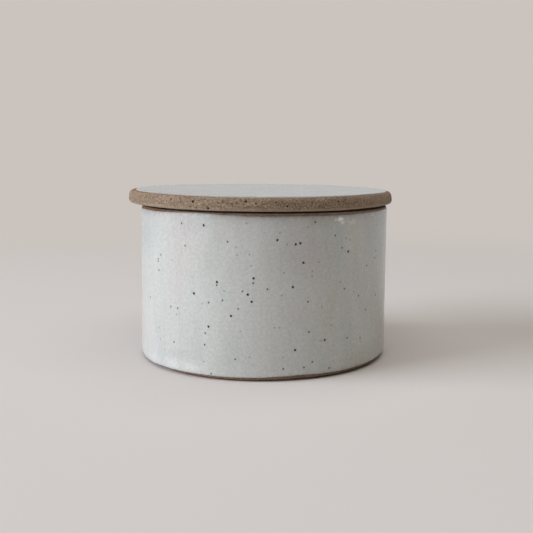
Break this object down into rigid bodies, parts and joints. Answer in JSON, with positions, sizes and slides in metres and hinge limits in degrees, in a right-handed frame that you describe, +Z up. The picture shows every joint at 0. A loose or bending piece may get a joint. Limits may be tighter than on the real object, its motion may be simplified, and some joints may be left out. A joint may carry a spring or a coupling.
{
  "type": "butter keeper",
  "caption": "Round stoneware butter keeper: a straight-sided speckled crock, an overhanging flat slab lid with a bare clay edge, and a butter bell under the lid.",
  "frame": {"origin": "middle of the crock's flat underside, on the table it stands on", "axes": "+Z up through the middle of the crock; -Y towards the camera of the picture, +X to its right"},
  "size_m": [0.1128, 0.1128, 0.0709],
  "materials": {
    "glaze": "pale grey-white satin-gloss glaze with dark iron specks",
    "lid_glaze": "pale grey satin-gloss glaze with dark iron specks",
    "bell_glaze": "pale grey-white satin-gloss glaze with dark iron specks",
    "bare_clay": "unglazed grey-brown stoneware, sandy and matt"
  },
  "bodies": {
    "crock": {"crock": "glaze"},
    "lid": {"lid_slab": "lid_glaze", "butter_bell": "bell_glaze"}
  },
  "joints": [
    {"name": "lid_lift", "type": "slide", "parent": "crock", "child": "lid", "axis": [0, 0, 1], "range_m": [0, 0.075]}
  ]
}
